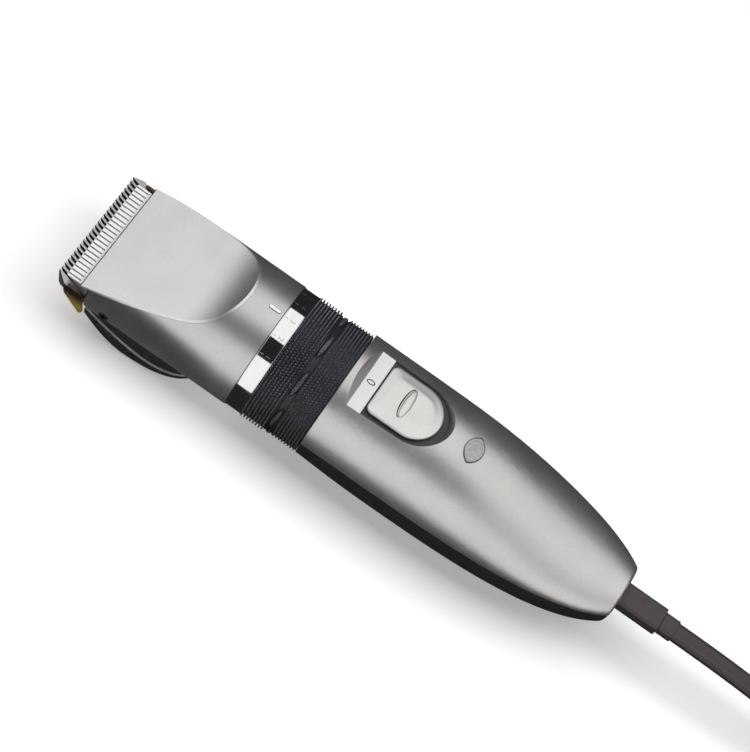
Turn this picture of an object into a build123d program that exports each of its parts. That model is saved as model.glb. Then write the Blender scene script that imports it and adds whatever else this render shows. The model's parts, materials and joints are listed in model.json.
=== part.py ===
"""Electric pet clipper with an adjusting ring, a ceramic blade and a charging lead.

The handle axis lies along X, with the blade tips at the low end and the charging lead at the high end.
The switch side faces +Z. The clipper rests on its jaw cover and on the belly of its lower shell.
All sizes are in millimetres.
"""

from build123d import *
from math import cos, radians, sin, sqrt, tan
import os

# Whole object
FRONT_X = -92.5  # plane just ahead of the blade tips, from which distances back are measured
AXIS_Z = 22.5  # handle axis above the surface that the clipper lies on
WALL = 1.8  # housings
GAP = 0.05  # between pieces of one body that rest against each other

# Head. Heights are measured from the axis.
HEAD_R = 20.2
HEAD_FRONT = 11.6
HEAD_REAR = 60.3
FACE_FRONT, FACE_HEIGHT, FACE_ANGLE = 9.0, 3.2, 18.7
FACE_KNEE = 38.0  # where the sloping face starts to curve upwards
FACE_CROWN = (49.6, 20.8)
PANEL_T = 0.6
PANEL_BACK = 0.3  # overhang of the panel behind the sloping face
INDEX_AT, INDEX_L, INDEX_W = 57.5, 3.7, 1.0
CATCH_AT, CATCH_HEIGHT, CATCH_R = 18.4, -4.5, 1.5
JAW_WALL = 1.7
JAW_TOP = -4.0
JAW_STEP, JAW_LEDGE = 0.45, 1.5  # the side walls stand back above a ledge this high over their lower edge

# Blade set
BLADE_ANGLE = 30.0
TIP_HEIGHT = 3.5
BLADE_HALF = 21.0
COMB_T = 2.4
TOOTH_PITCH = 1.54
COMB_FRONT, COMB_END = 1.7, 13.2  # along the blade
COMB_SLOTS, COMB_SLOT_W, COMB_SLOT_END = 25, 0.8, 7.4
CORNER_W, CORNER_L = 1.9, 3.6  # cut off the comb's front corners
CERAMIC_SLOTS, CERAMIC_HALF, CERAMIC_SLOT_W = 24, 18.6, 0.42
EAR_FROM = 6.6  # the gold side ears start here, along the blade
EAR_T = 1.0

# Adjusting ring
RING_FRONT, RING_REAR = 60.45, 84.45
RING_BORE_R, RING_CORE_R = 16.5, 18.55
BAND_R, BAND_L = 20.05, 5.25
GRIP_R, GRIP_ROOT_R, GRIP_REAR_R = 20.4, 19.5, 20.0
RIB_PITCH, RIB_W, RIBS = 1.0, 0.55, 8
REAR_RIBS_FROM = 76.5
RING_TURN = 90.0  # whole turn of the ring, in degrees
BLADE_FEED = 1.2  # whole travel of the moving blade that the ring gives
CAM_AT, CAM_R, CAM_W = 75.0, 17.7, 3.0

# Motor and crank
MOTOR_FRONT, MOTOR_REAR, MOTOR_R = 57.0, 83.0, 10.2
SHAFT_R = 0.99
SHAFT_BORE = 1.0
THROW = 1.2
CRANK_PIN_R = 1.0

# Neck and handle
NECK_FRONT, NECK_REAR = 51.0, 87.5
NECK_R, NECK_BORE = 16.3, 14.8
BODY_FRONT, BODY_REAR = 84.6, 183.7
SPLIT = 1.5  # seam between the two shells, above the axis
BODY_HALF, BODY_HEIGHT, BODY_DEPTH = 20.2, 18.6, 24.6  # height and depth from the seam
BELLY_RISE, BELLY_FROM = 2.9, 110.0  # the lower shell is this much shallower at the ring
TAPER_FROM, TAPER_L = 100.0, 89.2
TAIL_R = 1.4  # round edge of the rear end
BODY_SECTIONS = 13
SOCKET_END = BODY_REAR - WALL

# Switch
RECESS_FRONT, RECESS_BEND, RECESS_REAR = 88.9, 106.0, 116.5
RECESS_HALF = 10.45
RECESS_FLOOR = 17.4
RECESS_DRAFT = 24.0  # slope of the recess's wall, in degrees from upright
PLATE_REAR, PLATE_T, LEDGE = 93.4, 1.2, 1.4
TRACK_DROP = 0.6  # of the black track behind the plate
SLIDER_FRONT, SLIDER_REAR, SLIDER_HALF = 93.9, 114.1, 8.7
SLIDER_T = 2.0
SWITCH_TRAVEL = 4.5
BOARD_HEIGHT, BOARD_T = 7.0, 1.2
BOARD_FRONT, BOARD_REAR, BOARD_HALF = 97.0, 152.0, 11.0
LENS_AT, LENS_L, LENS_W = 125.35, 5.7, 8.9

# Battery
CELL_R, CELL_L, CELL_FRONT, CELL_HEIGHT = 7.2, 50.0, 108.0, -9.0

# Housing screws: distance back, sideways place, height under the head, top of the shank
SCREW_PLACES = ((93.5, 11.0, -15.5, 9.0), (93.5, -11.0, -15.5, 9.0), (166.5, 0.0, -17.5, 6.0))
SCREW_R, SCREW_HEAD_R, BOSS_R = 1.2, 2.4, 3.2

# Charging lead
BARREL_R, BARREL_BORE = 2.7, 2.78
BOOT_L, BOOT_W, BOOT_H = 13.75, 8.0, 5.0
RELIEF_L, RELIEF_W, RELIEF_H = 4.9, 6.4, 4.0
CORD_W, CORD_H = 5.8, 3.4
CORD_LIE = 1.8  # height of the cord's middle where it lies
HANK_FRONT, HANK_L, HANK_W, HANK_H = 222.0, 100.0, 42.0, 22.0
HANK_REAR = HANK_FRONT + HANK_L
HANK_CORNER = 18.0
WAIST_AT, WAIST_R = 34.0, 23.0  # round cut beside the tie, where the turns are drawn together
TAIL_EXIT = 15.5  # height at which the cord leaves the hank for the adapter
TIE_L, TIE_T, TIE_BORE = 5.0, 1.1, 22.0
ADAPTER_FRONT, ADAPTER_L, ADAPTER_W, ADAPTER_H = 361.0, 50.0, 34.0, 25.0
ADAPTER_RELIEF_L = 8.0
PIN_R, PIN_L, PIN_SPACING = 2.0, 19.0, 18.6
PIN_SHANK_R = 1.7  # inside the case

side = Plane(origin=(FRONT_X, 0, AXIS_Z), x_dir=(1, 0, 0), z_dir=(0, -1, 0))
lean = radians(BLADE_ANGLE)
blade_side = Plane(
    origin=(FRONT_X, 0, AXIS_Z + TIP_HEIGHT), x_dir=(cos(lean), 0, -sin(lean)), z_dir=(0, -1, 0)
)
blade_top = Plane(
    origin=(FRONT_X, 0, AXIS_Z + TIP_HEIGHT), x_dir=(cos(lean), 0, -sin(lean)), z_dir=(sin(lean), 0, cos(lean))
)


def across(distance):
    """Plane across the handle, this far behind the blade tips: its x is Y and its y is Z."""
    return Plane(origin=(FRONT_X + distance, 0, AXIS_Z), x_dir=(0, 1, 0), z_dir=(1, 0, 0))


def deck(height):
    """Level plane at this height above the axis: its x is the distance behind the blade tips."""
    return Plane(origin=(FRONT_X, 0, AXIS_Z + height), x_dir=(1, 0, 0), z_dir=(0, 0, 1))


def span(low, high, low_y, high_y):
    """Rectangle between two corners of the sketch."""
    with Locations(((low + high) / 2, (low_y + high_y) / 2)):
        Rectangle(high - low, high_y - low_y)


def tube(outer, inner):
    Circle(outer)
    Circle(inner, mode=Mode.SUBTRACT)


def polygon(points):
    with BuildLine() as outline:
        Polyline(*points, close=True)
    make_face(outline.line)


def save(builder, name):
    builder.part.label = name
    export_step(builder.part, f"parts/{name}.step")


os.makedirs("parts", exist_ok=True)

# ---------------------------------------------------------------- head


def above_face(back, down):
    """Side view of the space above the sloping face, moved back and down by these amounts."""
    rise = tan(radians(FACE_ANGLE))
    start = (back, FACE_HEIGHT - FACE_FRONT * rise - down)
    knee = (FACE_KNEE + back, FACE_HEIGHT + (FACE_KNEE - FACE_FRONT) * rise - down)
    crown = (FACE_CROWN[0] + back, FACE_CROWN[1] - down)
    top = FACE_CROWN[1] + WALL
    with BuildLine() as outline:
        slope = Line(start, knee)
        TangentArc(knee, crown, tangent=slope % 1)
        Polyline(crown, (crown[0], top), (start[0], top), start)
    make_face(outline.line)


with BuildPart() as head_shell:
    with BuildSketch(across(HEAD_FRONT)):
        tube(HEAD_R, HEAD_R - WALL)
    extrude(amount=HEAD_REAR - HEAD_FRONT)
    with BuildSketch(side):
        above_face(PANEL_BACK + GAP, PANEL_T + GAP)
    extrude(amount=HEAD_R * 2, both=True, mode=Mode.SUBTRACT)
    with BuildSketch(deck(HEAD_R - 0.6)):
        with Locations((INDEX_AT, 0)):
            SlotOverall(INDEX_L + 0.4, INDEX_W + 0.4)
    extrude(amount=WALL, mode=Mode.SUBTRACT)
    with BuildSketch(Plane.XZ):
        with Locations((FRONT_X + CATCH_AT, AXIS_Z + CATCH_HEIGHT)):
            Circle(CATCH_R + GAP)
    extrude(amount=HEAD_R * 2, both=True, mode=Mode.SUBTRACT)
save(head_shell, "head_shell")

with BuildPart() as face_panel:
    with BuildSketch(across(FACE_FRONT)):
        Circle(HEAD_R)
    extrude(amount=HEAD_REAR - FACE_FRONT)
    with BuildSketch(side):
        above_face(PANEL_BACK, PANEL_T)
    extrude(amount=HEAD_R * 2, both=True, mode=Mode.INTERSECT)
    with BuildSketch(side):
        above_face(0, 0)
    extrude(amount=HEAD_R * 2, both=True, mode=Mode.SUBTRACT)
save(face_panel, "face_panel")

with BuildPart() as index_pip:
    with BuildSketch(deck(HEAD_R - 0.55)):
        with Locations((INDEX_AT, 0)):
            SlotOverall(INDEX_L, INDEX_W)
    extrude(amount=0.75)
save(index_pip, "index_pip")

with BuildPart() as comb_catches:
    with BuildSketch(Plane.XZ.offset(-HEAD_R)):
        with Locations((FRONT_X + CATCH_AT, AXIS_Z + CATCH_HEIGHT)):
            Circle(CATCH_R)
            Circle(CATCH_R - 0.7, mode=Mode.SUBTRACT)
    extrude(amount=WALL - 0.3)
    mirror(about=Plane.XZ)
save(comb_catches, "comb_catches")

# distance back, half width at the sides, height of the lower side edge, half width and height of the bottom
JAW_STATIONS = (
    (12.2, 18.0, -11.0, 16.4, -15.6),
    (20.0, 18.4, -13.6, 16.8, -20.2),
    (28.0, 18.4, -15.8, 16.6, -22.7),
    (36.0, 17.6, -17.8, 16.0, -22.6),
    (43.0, 15.8, -18.4, 14.6, -21.3),
    (49.6, 10.5, -17.4, 9.0, -18.9),
)


def jaw_loft(inset, mode):
    """The cover's outer shape with its ledges, or with an inset its hollow."""
    sections = []
    for distance, half, edge, low_half, low in JAW_STATIONS:
        ledge = () if inset else ((half, edge + JAW_LEDGE - JAW_STEP), (half - JAW_STEP, edge + JAW_LEDGE))
        wall_top = (half - (inset or JAW_STEP), JAW_TOP + (1 if inset else 0))
        right = ((low_half - inset, low + inset), (half - inset, edge), *ledge, wall_top)
        left = tuple((-y, z) for y, z in reversed(right))
        with BuildSketch(across(distance)) as section:
            polygon(left + right)
        sections.append(section.sketch)
    loft(sections, mode=mode)


with BuildPart() as jaw_cover:
    jaw_loft(0, Mode.ADD)
    jaw_loft(JAW_WALL, Mode.SUBTRACT)
    with BuildSketch(across(0)):
        Circle(HEAD_R + GAP)
    extrude(amount=HEAD_REAR, mode=Mode.SUBTRACT)
    with BuildSketch(deck(-AXIS_Z)):
        span(0, HEAD_REAR, -HEAD_R, HEAD_R)
    extrude(amount=-AXIS_Z, mode=Mode.SUBTRACT)
save(jaw_cover, "jaw_cover")

# ---------------------------------------------------------------- blade set

COMB_BEVEL = 40.0
EDGE_L, EDGE_T = 0.3, 0.7  # blunt front edge
BEVEL_END = COMB_FRONT + COMB_T / tan(radians(COMB_BEVEL))

with BuildPart() as fixed_blade:
    with BuildSketch(blade_side):
        front = ((COMB_FRONT, 0), (COMB_FRONT + EDGE_L, -EDGE_T), (BEVEL_END, -COMB_T))
        polygon((*front, (COMB_END, -COMB_T), (COMB_END, 0)))
    extrude(amount=BLADE_HALF, both=True)
    with BuildSketch(blade_top.offset(1)):
        with GridLocations(0, TOOTH_PITCH, 1, COMB_SLOTS):
            with Locations((COMB_SLOT_END / 2, 0)):
                Rectangle(COMB_SLOT_END, COMB_SLOT_W)
        for edge in (-1, 1):
            inner, outer = edge * (BLADE_HALF - EAR_T - GAP), edge * (BLADE_HALF + 1)
            span(EAR_FROM, COMB_END + 1, min(inner, outer), max(inner, outer))
            corner = COMB_FRONT + CORNER_L
            cut_from = (COMB_FRONT, edge * (BLADE_HALF - CORNER_W))
            polygon((cut_from, (COMB_FRONT, outer), (corner, outer), (corner, edge * BLADE_HALF)))
    extrude(amount=-COMB_T * 2, mode=Mode.SUBTRACT)
save(fixed_blade, "fixed_blade")

with BuildPart() as blade_holder:
    with BuildSketch(blade_side):
        polygon(((7.2, -COMB_T - GAP), (8.6, -3.9), (15.5, -5.3), (14.6, -COMB_T - GAP)))
    extrude(amount=BLADE_HALF - EAR_T, both=True)
    with BuildSketch(blade_side.offset(BLADE_HALF - EAR_T)):
        polygon(((6.7, -2.3), (6.7, 0.3), (10.6, 2.4), (16.6, -3.9), (16.6, -5.3), (8.6, -3.9)))
    extrude(amount=EAR_T)
    mirror(about=Plane.XZ)
save(blade_holder, "blade_holder")

CERAMIC_TOP = 1.5
comb_rise = -tan(lean)

with BuildPart() as ceramic_blade:
    with BuildSketch(side):
        polygon(
            (
                (3.7, TIP_HEIGHT + 3.7 * comb_rise + GAP),
                (4.4, CERAMIC_TOP),
                (9.6, CERAMIC_TOP),
                (10.95, 0.2),
                (10.95, TIP_HEIGHT + 10.95 * comb_rise + GAP),
            )
        )
    extrude(amount=CERAMIC_HALF, both=True)
    with BuildSketch(deck(CERAMIC_TOP + 1)):
        with GridLocations(0, TOOTH_PITCH, 1, CERAMIC_SLOTS):
            with Locations((5.4, 0)):
                Rectangle(5.2, CERAMIC_SLOT_W)
    extrude(amount=-6, mode=Mode.SUBTRACT)
save(ceramic_blade, "ceramic_blade")

CARRIER_TOP = 0.2
CARRIER_T = 2.8
FORK_HALF, FORK_GAP = 5.8, 3.55

with BuildPart() as blade_carrier:
    with BuildSketch(deck(CARRIER_TOP)):
        span(11.0, 16.2, -12.5, 12.5)
        span(14.0, 37.0, -4.6, 4.6)
        with Locations((13.7, -4.5), (13.7, 4.5)):
            Circle(0.92, mode=Mode.SUBTRACT)
    extrude(amount=-CARRIER_T)
    with BuildSketch(deck(-5)):
        span(35.0, 45.0, -FORK_HALF, FORK_HALF)
    extrude(amount=10)
    with BuildSketch(deck(-6)):
        span(38.0, 46.0, -FORK_GAP, FORK_GAP)
    extrude(amount=12, mode=Mode.SUBTRACT)
save(blade_carrier, "blade_carrier")

with BuildPart() as blade_screws:
    with BuildSketch(deck(CARRIER_TOP + 0.02)):
        with Locations((13.7, -4.5), (13.7, 4.5)):
            Circle(1.7)
    extrude(amount=1.0)
    with BuildSketch(deck(CARRIER_TOP + 0.02)):
        with Locations((13.7, -4.5), (13.7, 4.5)):
            Circle(0.9)
    extrude(amount=-CARRIER_T)
save(blade_screws, "blade_screws")

with BuildPart() as blade_bracket:
    with BuildSketch(blade_side):
        polygon(((15.55, -2.7), (15.55, -5.1), (26.8, -5.1), (26.8, -4.1), (19.5, -4.1), (19.5, -2.7)))
    extrude(amount=10.5, both=True)
save(blade_bracket, "blade_bracket")

YOKE_LOW, YOKE_HIGH = -8.0, -6.0
ARM_IN, ARM_OUT = 11.6, 13.8

with BuildPart() as feed_yoke:
    with BuildSketch(deck(YOKE_LOW)):
        span(16.5, 48.0, -10, 10)
    extrude(amount=YOKE_HIGH - YOKE_LOW)
    with BuildSketch(across(44.0)):
        span(8.0, ARM_OUT, YOKE_LOW, 2.5)
    extrude(amount=4.0)
    with BuildSketch(across(44.0)):
        span(ARM_IN, ARM_OUT, -2.5, 2.5)
    extrude(amount=33.0)
    with BuildSketch(deck(YOKE_HIGH)):
        with Locations((26.2, -8.5), (26.2, 8.5)):
            Rectangle(3.0, 2.4)
    extrude(amount=7.6)
    with BuildSketch(Plane(origin=(FRONT_X + CAM_AT, ARM_OUT, AXIS_Z), z_dir=(0, 1, 0))):
        Circle(1.2)
    extrude(amount=CAM_R - ARM_OUT - 0.3)
save(feed_yoke, "feed_yoke")

with BuildPart() as pressure_springs:
    with BuildSketch(side.offset(7.6)):
        polygon(((27.7, 1.62), (27.7, 2.0), (24.4, 2.0), (15.0, 0.95), (12.6, 0.95), (12.6, 0.6),
                 (15.0, 0.6), (24.4, 1.62)))
    extrude(amount=2.4)
    mirror(about=Plane.XZ)
save(pressure_springs, "pressure_springs")

# ---------------------------------------------------------------- adjusting ring

cam_lead = BLADE_FEED * cos(lean) / radians(RING_TURN)  # travel along X for each radian of turn
cam_tilt = cam_lead / ((CAM_R + ARM_OUT) / 2)

with BuildPart() as ring_core:
    with BuildSketch(across(RING_FRONT)):
        tube(RING_CORE_R, RING_BORE_R)
    extrude(amount=RING_REAR - RING_FRONT)
    with BuildSketch(Plane(origin=(FRONT_X + CAM_AT, 0, AXIS_Z), z_dir=(1, 0, -cam_tilt))):
        Circle(CAM_R)
    extrude(amount=CAM_W / 2, both=True, mode=Mode.SUBTRACT)
    with BuildSketch(across(RING_FRONT)):
        with PolarLocations(RING_BORE_R, 5, start_angle=-135, angular_range=RING_TURN, endpoint=True):
            Circle(0.8)
    extrude(amount=8, mode=Mode.SUBTRACT)
save(ring_core, "ring_core")

with BuildPart() as scale_band:
    with BuildSketch(across(RING_FRONT)):
        tube(BAND_R, RING_CORE_R + GAP)
    extrude(amount=BAND_L)
save(scale_band, "scale_band")

GRIP_FRONT = RING_FRONT + BAND_L + GAP

with BuildPart() as grip_sleeve:
    with BuildSketch(across(GRIP_FRONT)):
        Circle(GRIP_ROOT_R)
    extrude(amount=RING_REAR - GRIP_FRONT)
    for rib in range(RIBS):
        for first, rib_r in ((GRIP_FRONT, GRIP_R), (REAR_RIBS_FROM, GRIP_REAR_R)):
            with BuildSketch(across(first + rib * RIB_PITCH)):
                Circle(rib_r)
            extrude(amount=RIB_W)
    with BuildSketch(across(GRIP_FRONT)):
        Circle(RING_CORE_R + GAP)
    extrude(amount=RING_REAR - GRIP_FRONT, mode=Mode.SUBTRACT)
save(grip_sleeve, "grip_sleeve")

# ---------------------------------------------------------------- neck and motor

with BuildPart() as neck_chassis:
    with BuildSketch(across(NECK_FRONT)):
        tube(NECK_R, NECK_BORE)
    extrude(amount=NECK_REAR - NECK_FRONT)
    with BuildSketch(across(NECK_FRONT)):
        tube(HEAD_R - WALL - GAP, 12.0)
    extrude(amount=3.0)
    with BuildSketch(across(NECK_REAR - 2)):
        tube(17.95, NECK_BORE)
    extrude(amount=2.0)
    with BuildSketch(across(NECK_FRONT)):
        span(ARM_IN - 0.9, ARM_OUT + 0.9, -3.4, 3.4)
    extrude(amount=3.0, mode=Mode.SUBTRACT)
    with BuildSketch(deck(0)):
        span(CAM_AT - 2.4, CAM_AT + 2.4, NECK_BORE - 2, NECK_R + 1)
    extrude(amount=2.2, both=True, mode=Mode.SUBTRACT)
    with BuildSketch(deck(-NECK_R - 1)):
        span(61.0, 69.0, -2.2, 2.2)
    extrude(amount=4, mode=Mode.SUBTRACT)
save(neck_chassis, "neck_chassis")

with BuildPart() as click_spring:
    with BuildSketch(side):
        polygon(((61.2, -15.9), (62.6, -15.9), (64.2, -16.3), (65.8, -15.9), (68.8, -15.9), (68.8, -15.4),
                 (61.2, -15.4)))
    extrude(amount=1.9, both=True)
save(click_spring, "click_spring")

MOUNT_FRONT = 54.05
MOTOR_HOLES = ((0, -6.5), (0, 6.5))

with BuildPart() as motor_mount:
    with BuildSketch(across(MOUNT_FRONT)):
        Circle(NECK_BORE - GAP)
        Circle(3.05, mode=Mode.SUBTRACT)
        with Locations(*MOTOR_HOLES):
            Circle(0.82, mode=Mode.SUBTRACT)
        with Locations(((ARM_IN + NECK_BORE) / 2, 0)):
            Rectangle(NECK_BORE - ARM_IN + 1.8, 6.8, mode=Mode.SUBTRACT)
    extrude(amount=MOTOR_FRONT - MOUNT_FRONT - GAP)
save(motor_mount, "motor_mount")

with BuildPart() as motor_screws:
    with BuildSketch(across(MOUNT_FRONT - GAP)):
        with Locations(*MOTOR_HOLES):
            Circle(1.6)
    extrude(amount=-1.1)
    with BuildSketch(across(MOUNT_FRONT - GAP)):
        with Locations(*MOTOR_HOLES):
            Circle(0.8)
    extrude(amount=3.7)
save(motor_screws, "motor_screws")

with BuildPart() as motor_can:
    with BuildSketch(across(MOTOR_FRONT)):
        tube(MOTOR_R, MOTOR_R - 0.8)
    extrude(amount=MOTOR_REAR - MOTOR_FRONT)
    with BuildSketch(across(MOTOR_FRONT)):
        Circle(MOTOR_R)
        Circle(2.05, mode=Mode.SUBTRACT)
        with Locations(*MOTOR_HOLES):
            Circle(0.82, mode=Mode.SUBTRACT)
    extrude(amount=0.8)
    with BuildSketch(across(MOTOR_FRONT)):
        tube(3.0, 2.05)
    extrude(amount=-1.8)
save(motor_can, "motor_can")

with BuildPart() as motor_bush:
    with BuildSketch(across(MOTOR_FRONT - 1.8)):
        tube(2.0, SHAFT_BORE + 0.03)
    extrude(amount=2.8)
save(motor_bush, "motor_bush")

with BuildPart() as motor_end_cap:
    with BuildSketch(across(MOTOR_REAR + GAP)):
        tube(MOTOR_R, SHAFT_BORE + 0.03)
    extrude(amount=2.6)
save(motor_end_cap, "motor_end_cap")

with BuildPart() as motor_magnets:
    with BuildSketch(across(60.0)):
        tube(MOTOR_R - 0.85, 7.6)
        Rectangle(MOTOR_R * 2, 6.0, mode=Mode.SUBTRACT)
    extrude(amount=20.0)
save(motor_magnets, "motor_magnets")

with BuildPart() as armature:
    with BuildSketch(across(62.0)):
        tube(6.9, SHAFT_BORE)
        with PolarLocations(6.0, 3):
            Rectangle(3.6, 1.4, mode=Mode.SUBTRACT)
    extrude(amount=14.0)
save(armature, "armature")

with BuildPart() as commutator:
    with BuildSketch(across(77.0)):
        tube(2.6, SHAFT_BORE)
    extrude(amount=4.0)
save(commutator, "commutator")

with BuildPart() as motor_shaft:
    with BuildSketch(across(48.6)):
        Circle(SHAFT_R)
    extrude(amount=36.6)
save(motor_shaft, "motor_shaft")

with BuildPart() as eccentric_cam:
    with BuildSketch(across(46.5)):
        Circle(4.2)
    extrude(amount=5.5)
    with BuildSketch(across(48.5)):
        Circle(SHAFT_BORE)
    extrude(amount=5, mode=Mode.SUBTRACT)
    with BuildSketch(across(46.5)):
        with Locations((0, THROW)):
            Circle(CRANK_PIN_R)
    extrude(amount=-7.5)
save(eccentric_cam, "eccentric_cam")

# ---------------------------------------------------------------- handle shells


def body_size(distance):
    """Half width, height above the seam and depth below it, this far behind the blade tips."""
    taper = max(0.0, distance - TAPER_FROM) / TAPER_L
    half = BODY_HALF * sqrt(1 - taper**3.3)
    slope = taper**3.7
    height = BODY_HEIGHT * (1 - slope / (0.28 + 1.05 * slope))
    rise = max(0.0, BELLY_FROM - distance) / (BELLY_FROM - BODY_FRONT)
    depth = (BODY_DEPTH - BELLY_RISE * rise**2) * (1 - taper**4.2) ** 0.4
    return half, height, depth


def body_loft(upper, inset, mode):
    """Half of the handle, above or below the seam, its surface drawn in by the inset."""
    sections = []
    rear = SOCKET_END if inset else BODY_REAR
    for index in range(BODY_SECTIONS):
        left = 1 - index / (BODY_SECTIONS - 1)
        distance = rear - (rear - BODY_FRONT) * left**1.35
        half, height, depth = body_size(distance)
        tall, start = (height, 0) if upper else (depth, 180)
        with BuildSketch(across(distance)) as section:
            with BuildLine() as outline:
                rim = EllipticalCenterArc((0, SPLIT), half - inset, tall - inset, start, arc_size=180)
                Line(rim @ 1, rim @ 0)
            make_face(outline.line)
        sections.append(section.sketch)
    loft(sections, mode=mode)


def shield(front, bend, rear, half, rear_half):
    """Flat front, straight sides and a half oval at the rear."""
    with BuildLine() as outline:
        end = EllipticalCenterArc((bend, 0), rear - bend, rear_half, -90, arc_size=180)
        Polyline(end @ 1, (front, half), (front, -half), end @ 0)
    make_face(outline.line)


def recess_outline(grow):
    """Outline of the switch recess, this much larger all round."""
    half = RECESS_HALF + grow
    shield(RECESS_FRONT - grow, RECESS_BEND, RECESS_REAR + grow, half, half - 0.5)


def lens_outline(grow):
    """Almond with its points across the handle."""
    with BuildLine() as outline:
        low, high = (LENS_AT, -LENS_W / 2 - grow), (LENS_AT, LENS_W / 2 + grow)
        ThreePointArc(low, (LENS_AT + LENS_L / 2 + grow, 0), high)
        ThreePointArc(high, (LENS_AT - LENS_L / 2 - grow, 0), low)
    make_face(outline.line)


def bosses(low, high, radius, mode):
    with BuildSketch(deck(low)) as circles:
        with Locations(*[(distance, y) for distance, y, _, _ in SCREW_PLACES]):
            Circle(radius)
    extrude(circles.sketch, amount=high - low, mode=mode)


def round_tail(solid):
    end = solid.faces().sort_by(Axis.X)[-1]
    fillet(end.edges().sort_by(SortBy.LENGTH)[-1], TAIL_R)


with BuildPart() as upper_solid:
    body_loft(True, 0, Mode.ADD)
    round_tail(upper_solid)

with BuildPart() as lower_solid:
    body_loft(False, 0, Mode.ADD)
    round_tail(lower_solid)
    with BuildSketch(deck(-AXIS_Z)):
        span(BODY_FRONT - 5, BODY_REAR + 5, -HEAD_R * 2, HEAD_R * 2)
    extrude(amount=-AXIS_Z, mode=Mode.SUBTRACT)

with BuildPart() as upper_shell:
    add(upper_solid.part)
    body_loft(True, WALL, Mode.SUBTRACT)
    bosses(SPLIT, HEAD_R, BOSS_R, Mode.ADD)
    with BuildSketch(deck(RECESS_FLOOR - PLATE_T - LEDGE)):
        recess_outline(LEDGE)
    extrude(amount=HEAD_R)
    add(upper_solid.part, mode=Mode.INTERSECT)
    with BuildSketch(deck(RECESS_FLOOR - PLATE_T - GAP)):
        recess_outline(0)
    extrude(amount=HEAD_R, mode=Mode.SUBTRACT)
    with BuildSketch(deck(SPLIT)):
        recess_outline(-LEDGE)
    extrude(amount=HEAD_R, mode=Mode.SUBTRACT)
    with BuildSketch(deck(RECESS_FLOOR + 0.2)):
        recess_outline(0)
    extrude(amount=4, taper=-RECESS_DRAFT, mode=Mode.SUBTRACT)
    with BuildSketch(side):
        polygon(((RECESS_FRONT, RECESS_FLOOR), (RECESS_FRONT - 4, RECESS_FLOOR + 4.3), (RECESS_FRONT, HEAD_R + 2)))
    extrude(amount=RECESS_HALF, both=True, mode=Mode.SUBTRACT)
    with BuildSketch(deck(SPLIT)):
        lens_outline(0.12)
    extrude(amount=HEAD_R, mode=Mode.SUBTRACT)
    bosses(SPLIT, 9.5, SCREW_R + 0.03, Mode.SUBTRACT)
    with BuildSketch(across(SOCKET_END - 2)):
        Circle(3.1)
    extrude(amount=8, mode=Mode.SUBTRACT)
save(upper_shell, "upper_shell")

with BuildPart() as lower_shell:
    add(lower_solid.part)
    body_loft(False, WALL, Mode.SUBTRACT)
    bosses(-AXIS_Z, SPLIT - GAP, BOSS_R, Mode.ADD)
    add(lower_solid.part, mode=Mode.INTERSECT)
    bosses(-AXIS_Z - 1, SPLIT, SCREW_R + 0.03, Mode.SUBTRACT)
    for distance, y, seat, _ in SCREW_PLACES:
        with BuildSketch(deck(seat)):
            with Locations((distance, y)):
                Circle(SCREW_HEAD_R + 0.2)
        extrude(amount=-AXIS_Z, mode=Mode.SUBTRACT)
    with BuildSketch(deck(SPLIT)):
        span(BODY_FRONT - 5, BODY_REAR + 5, -HEAD_R * 2, HEAD_R * 2)
    extrude(amount=-GAP, mode=Mode.SUBTRACT)
    with BuildSketch(across(SOCKET_END - 2)):
        Circle(3.1)
    extrude(amount=8, mode=Mode.SUBTRACT)
save(lower_shell, "lower_shell")

with BuildPart() as shell_screws:
    for distance, y, seat, top in SCREW_PLACES:
        with BuildSketch(deck(seat)):
            with Locations((distance, y)):
                Circle(SCREW_HEAD_R)
        extrude(amount=-1.4)
        with BuildSketch(deck(seat)):
            with Locations((distance, y)):
                Circle(SCREW_R)
        extrude(amount=top - seat)
save(shell_screws, "shell_screws")

with BuildPart() as led_lens:
    add(upper_solid.part)
    body_loft(True, WALL + 0.6, Mode.SUBTRACT)
    with BuildSketch(deck(SPLIT)):
        lens_outline(0)
    extrude(amount=HEAD_R, mode=Mode.INTERSECT)
save(led_lens, "led_lens")

# ---------------------------------------------------------------- switch and electronics

STEM_SLOT = (100.2, 109.0, -1.9, 1.9)


def recess_plate(top, front, rear):
    """Plate in the recess between two distances back, which rests on the recess's ledge."""
    with BuildSketch(deck(top)) as plate:
        recess_outline(-GAP)
    extrude(plate.sketch, amount=RECESS_FLOOR - PLATE_T - top)
    with BuildSketch(deck(0)) as kept:
        span(front, rear, -HEAD_R, HEAD_R)
    extrude(kept.sketch, amount=HEAD_R, mode=Mode.INTERSECT)
    add(upper_solid.part, mode=Mode.INTERSECT)


with BuildPart() as switch_plate:
    recess_plate(RECESS_FLOOR, RECESS_FRONT, PLATE_REAR)
save(switch_plate, "switch_plate")

with BuildPart() as slide_track:
    recess_plate(RECESS_FLOOR - TRACK_DROP, PLATE_REAR + GAP, RECESS_REAR)
    with BuildSketch(deck(RECESS_FLOOR)):
        span(*STEM_SLOT)
    extrude(amount=-2 * PLATE_T, mode=Mode.SUBTRACT)
save(slide_track, "slide_track")

with BuildPart() as switch_slider:
    with BuildSketch(deck(RECESS_FLOOR + 0.05)):
        shield(SLIDER_FRONT, 105.5, SLIDER_REAR, SLIDER_HALF, SLIDER_HALF - 0.3)
    extrude(amount=SLIDER_T)
    fillet(switch_slider.edges().filter_by(Axis.Z).sort_by(Axis.X)[:2], 2.0)
    fillet(switch_slider.faces().sort_by(Axis.Z)[-1].edges(), 0.5)
    with BuildSketch(deck(RECESS_FLOOR + SLIDER_T)):
        with Locations((102.9, 0)):
            Ellipse(1.4, 5.25)
    extrude(amount=0.5)
save(switch_slider, "switch_slider")

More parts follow.
